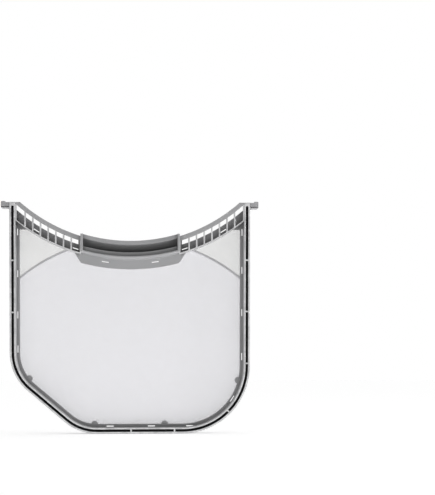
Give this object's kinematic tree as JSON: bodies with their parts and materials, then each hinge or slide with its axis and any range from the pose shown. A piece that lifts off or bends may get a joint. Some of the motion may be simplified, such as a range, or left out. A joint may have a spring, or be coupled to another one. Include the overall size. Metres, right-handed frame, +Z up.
{
  "type": "tumble dryer lint filter",
  "caption": "Flat lint filter for a tumble dryer: moulded frame with a curved windowed band and a finger trough, a stretched fine mesh, and a rear frame with an arched rib.",
  "frame": {"origin": "middle of the bounding box at the bottom edge, on which the filter stands upright", "axes": "+X across the filter to the right as seen from the handle side, +Y from the handle side to the back, +Z up towards the handle"},
  "size_m": [0.3622, 0.038, 0.3254],
  "materials": {
    "frame_plastic": "fine satin moulding grain",
    "seal_rubber": "dull black",
    "mesh_cloth": "fine plain weave, slightly see-through"
  },
  "bodies": {
    "root": {"front_frame": "frame_plastic", "rim_seal": "seal_rubber", "mesh_screen": "mesh_cloth", "rear_frame": "frame_plastic"}
  },
  "joints": []
}
